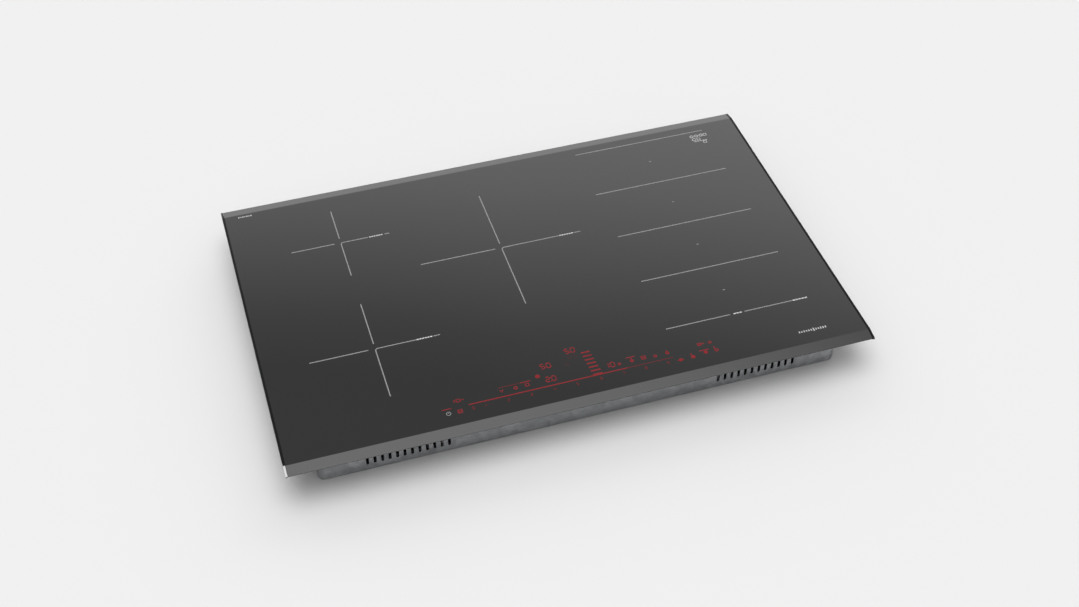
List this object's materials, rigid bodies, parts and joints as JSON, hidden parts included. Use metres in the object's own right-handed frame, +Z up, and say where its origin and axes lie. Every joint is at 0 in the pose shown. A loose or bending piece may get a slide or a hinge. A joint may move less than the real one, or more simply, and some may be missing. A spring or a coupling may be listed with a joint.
{
  "type": "built-in induction cooktop",
  "caption": "Built-in electric induction cooktop with a bevelled black glass-ceramic top, slim dark side trims and a shallow vented steel tray.",
  "frame": {"origin": "middle of the overall outline, at the level of the steel tray's underside", "axes": "+Z up through the glass, +X to the cook's right along the long side, +Y to the rear edge"},
  "size_m": [0.816, 0.527, 0.0573],
  "materials": {
    "glass_ceramic": "polished black glass-ceramic",
    "dark_trim": "dark anodised",
    "seal_foam": "closed-cell foam",
    "silicone": "cured black silicone",
    "galvanised_steel": "galvanised sheet",
    "spring_steel": "bright rolled strip",
    "black_plastic": "fine moulded texture",
    "grey_plastic": "glass-filled moulding",
    "aluminium": "mill finish",
    "copper": "enamelled litz wire",
    "mica": "pressed mica sheet",
    "ceramic": "glazed",
    "circuit_board": "solder mask",
    "light_guide": "tinted clear moulding",
    "ribbon": "flat cable",
    "capacitor": "moulded case",
    "printed_enamel": "fired light grey print",
    "lit_red": "lit sign seen through the glass",
    "zinc_screw": "zinc-plated steel",
    "label_foil": "blank silver foil",
    "ferrite": "sintered ferrite"
  },
  "bodies": {
    "housing": {"glass_ceramic_top": "glass_ceramic", "side_trim_left": "dark_trim", "side_trim_right": "dark_trim", "worktop_seal": "seal_foam", "adhesive_bead": "silicone", "bottom_tray": "galvanised_steel", "connection_box": "black_plastic", "cable_gland": "black_plastic", "control_panel_carrier": "black_plastic", "blower_housing_left": "black_plastic", "blower_housing_right": "black_plastic", "terminal_block": "ceramic", "coil_winding_rear_left": "copper", "coil_winding_front_left": "copper", "coil_winding_centre_inner": "copper", "coil_winding_centre_outer": "copper", "coil_winding_flex_1": "copper", "coil_winding_flex_2": "copper", "coil_winding_flex_3": "copper", "coil_winding_flex_4": "copper", "filter_choke_left": "copper", "filter_choke_right": "copper", "coil_former_rear_left": "grey_plastic", "coil_former_front_left": "grey_plastic", "coil_former_centre": "grey_plastic", "coil_former_flex_1": "grey_plastic", "coil_former_flex_2": "grey_plastic", "coil_former_flex_3": "grey_plastic", "coil_former_flex_4": "grey_plastic", "coil_plate_left": "aluminium", "coil_plate_centre": "aluminium", "coil_plate_flex": "aluminium", "heatsink_left": "aluminium", "heatsink_right": "aluminium", "insulation_sheet_left": "mica", "insulation_sheet_centre": "mica", "insulation_sheet_flex": "mica", "inverter_board_left": "circuit_board", "inverter_board_right": "circuit_board", "mains_filter_board": "circuit_board", "control_panel_board": "circuit_board", "display_light_guide": "light_guide", "ribbon_cable": "ribbon", "film_capacitor_left": "capacitor", "film_capacitor_right": "capacitor"},
    "blower_rotor_left": {"blower_impeller_left": "grey_plastic"},
    "blower_rotor_right": {"blower_impeller_right": "grey_plastic"},
    "sensor_rear_left": {"temperature_sensor_rear_left": "ceramic"},
    "sensor_front_left": {"temperature_sensor_front_left": "ceramic"},
    "sensor_centre": {"temperature_sensor_centre": "ceramic"},
    "sensor_flex_1": {"temperature_sensor_flex_1": "ceramic"},
    "sensor_flex_2": {"temperature_sensor_flex_2": "ceramic"},
    "sensor_flex_3": {"temperature_sensor_flex_3": "ceramic"},
    "sensor_flex_4": {"temperature_sensor_flex_4": "ceramic"},
    "spring_front_left": {"fixing_spring_front_left": "spring_steel"},
    "spring_front_right": {"fixing_spring_front_right": "spring_steel"},
    "spring_rear_left": {"fixing_spring_rear_left": "spring_steel"},
    "spring_rear_right": {"fixing_spring_rear_right": "spring_steel"},
    "terminal_cover": {"connection_box_cover": "black_plastic"}
  },
  "joints": [
    {"name": "blower_spin_left", "type": "hinge", "parent": "housing", "child": "blower_rotor_left", "pos_m": [-0.245, 0.165, 0.017], "axis": [0, 0, 1], "continuous": true},
    {"name": "blower_spin_right", "type": "hinge", "parent": "housing", "child": "blower_rotor_right", "pos_m": [0.245, 0.165, 0.017], "axis": [0, 0, 1], "continuous": true},
    {"name": "sensor_press_rear_left", "type": "slide", "parent": "housing", "child": "sensor_rear_left", "axis": [0, 0, 1], "range_m": [-0.0015, 0], "stiffness_N_per_m": 200},
    {"name": "sensor_press_front_left", "type": "slide", "parent": "housing", "child": "sensor_front_left", "axis": [0, 0, 1], "range_m": [-0.0015, 0], "stiffness_N_per_m": 200},
    {"name": "sensor_press_centre", "type": "slide", "parent": "housing", "child": "sensor_centre", "axis": [0, 0, 1], "range_m": [-0.0015, 0], "stiffness_N_per_m": 200},
    {"name": "sensor_press_flex_1", "type": "slide", "parent": "housing", "child": "sensor_flex_1", "axis": [0, 0, 1], "range_m": [-0.0015, 0], "stiffness_N_per_m": 200},
    {"name": "sensor_press_flex_2", "type": "slide", "parent": "housing", "child": "sensor_flex_2", "axis": [0, 0, 1], "range_m": [-0.0015, 0], "stiffness_N_per_m": 200},
    {"name": "sensor_press_flex_3", "type": "slide", "parent": "housing", "child": "sensor_flex_3", "axis": [0, 0, 1], "range_m": [-0.0015, 0], "stiffness_N_per_m": 200},
    {"name": "sensor_press_flex_4", "type": "slide", "parent": "housing", "child": "sensor_flex_4", "axis": [0, 0, 1], "range_m": [-0.0015, 0], "stiffness_N_per_m": 200},
    {"name": "spring_flex_front_left", "type": "hinge", "parent": "housing", "child": "spring_front_left", "pos_m": [-0.366, -0.165, 0.0454], "axis": [0, -1, 0], "range_deg": [0, 12], "stiffness_Nm_per_rad": 3.5},
    {"name": "spring_flex_front_right", "type": "hinge", "parent": "housing", "child": "spring_front_right", "pos_m": [0.366, -0.165, 0.0454], "axis": [0, 1, 0], "range_deg": [0, 12], "stiffness_Nm_per_rad": 3.5},
    {"name": "spring_flex_rear_left", "type": "hinge", "parent": "housing", "child": "spring_rear_left", "pos_m": [-0.366, 0.165, 0.0454], "axis": [0, -1, 0], "range_deg": [0, 12], "stiffness_Nm_per_rad": 3.5},
    {"name": "spring_flex_rear_right", "type": "hinge", "parent": "housing", "child": "spring_rear_right", "pos_m": [0.366, 0.165, 0.0454], "axis": [0, 1, 0], "range_deg": [0, 12], "stiffness_Nm_per_rad": 3.5},
    {"name": "terminal_cover_hinge", "type": "hinge", "parent": "housing", "child": "terminal_cover", "pos_m": [0.081, 0.2407, 0.007], "axis": [-1, 0, 0], "range_deg": [0, 90]}
  ]
}
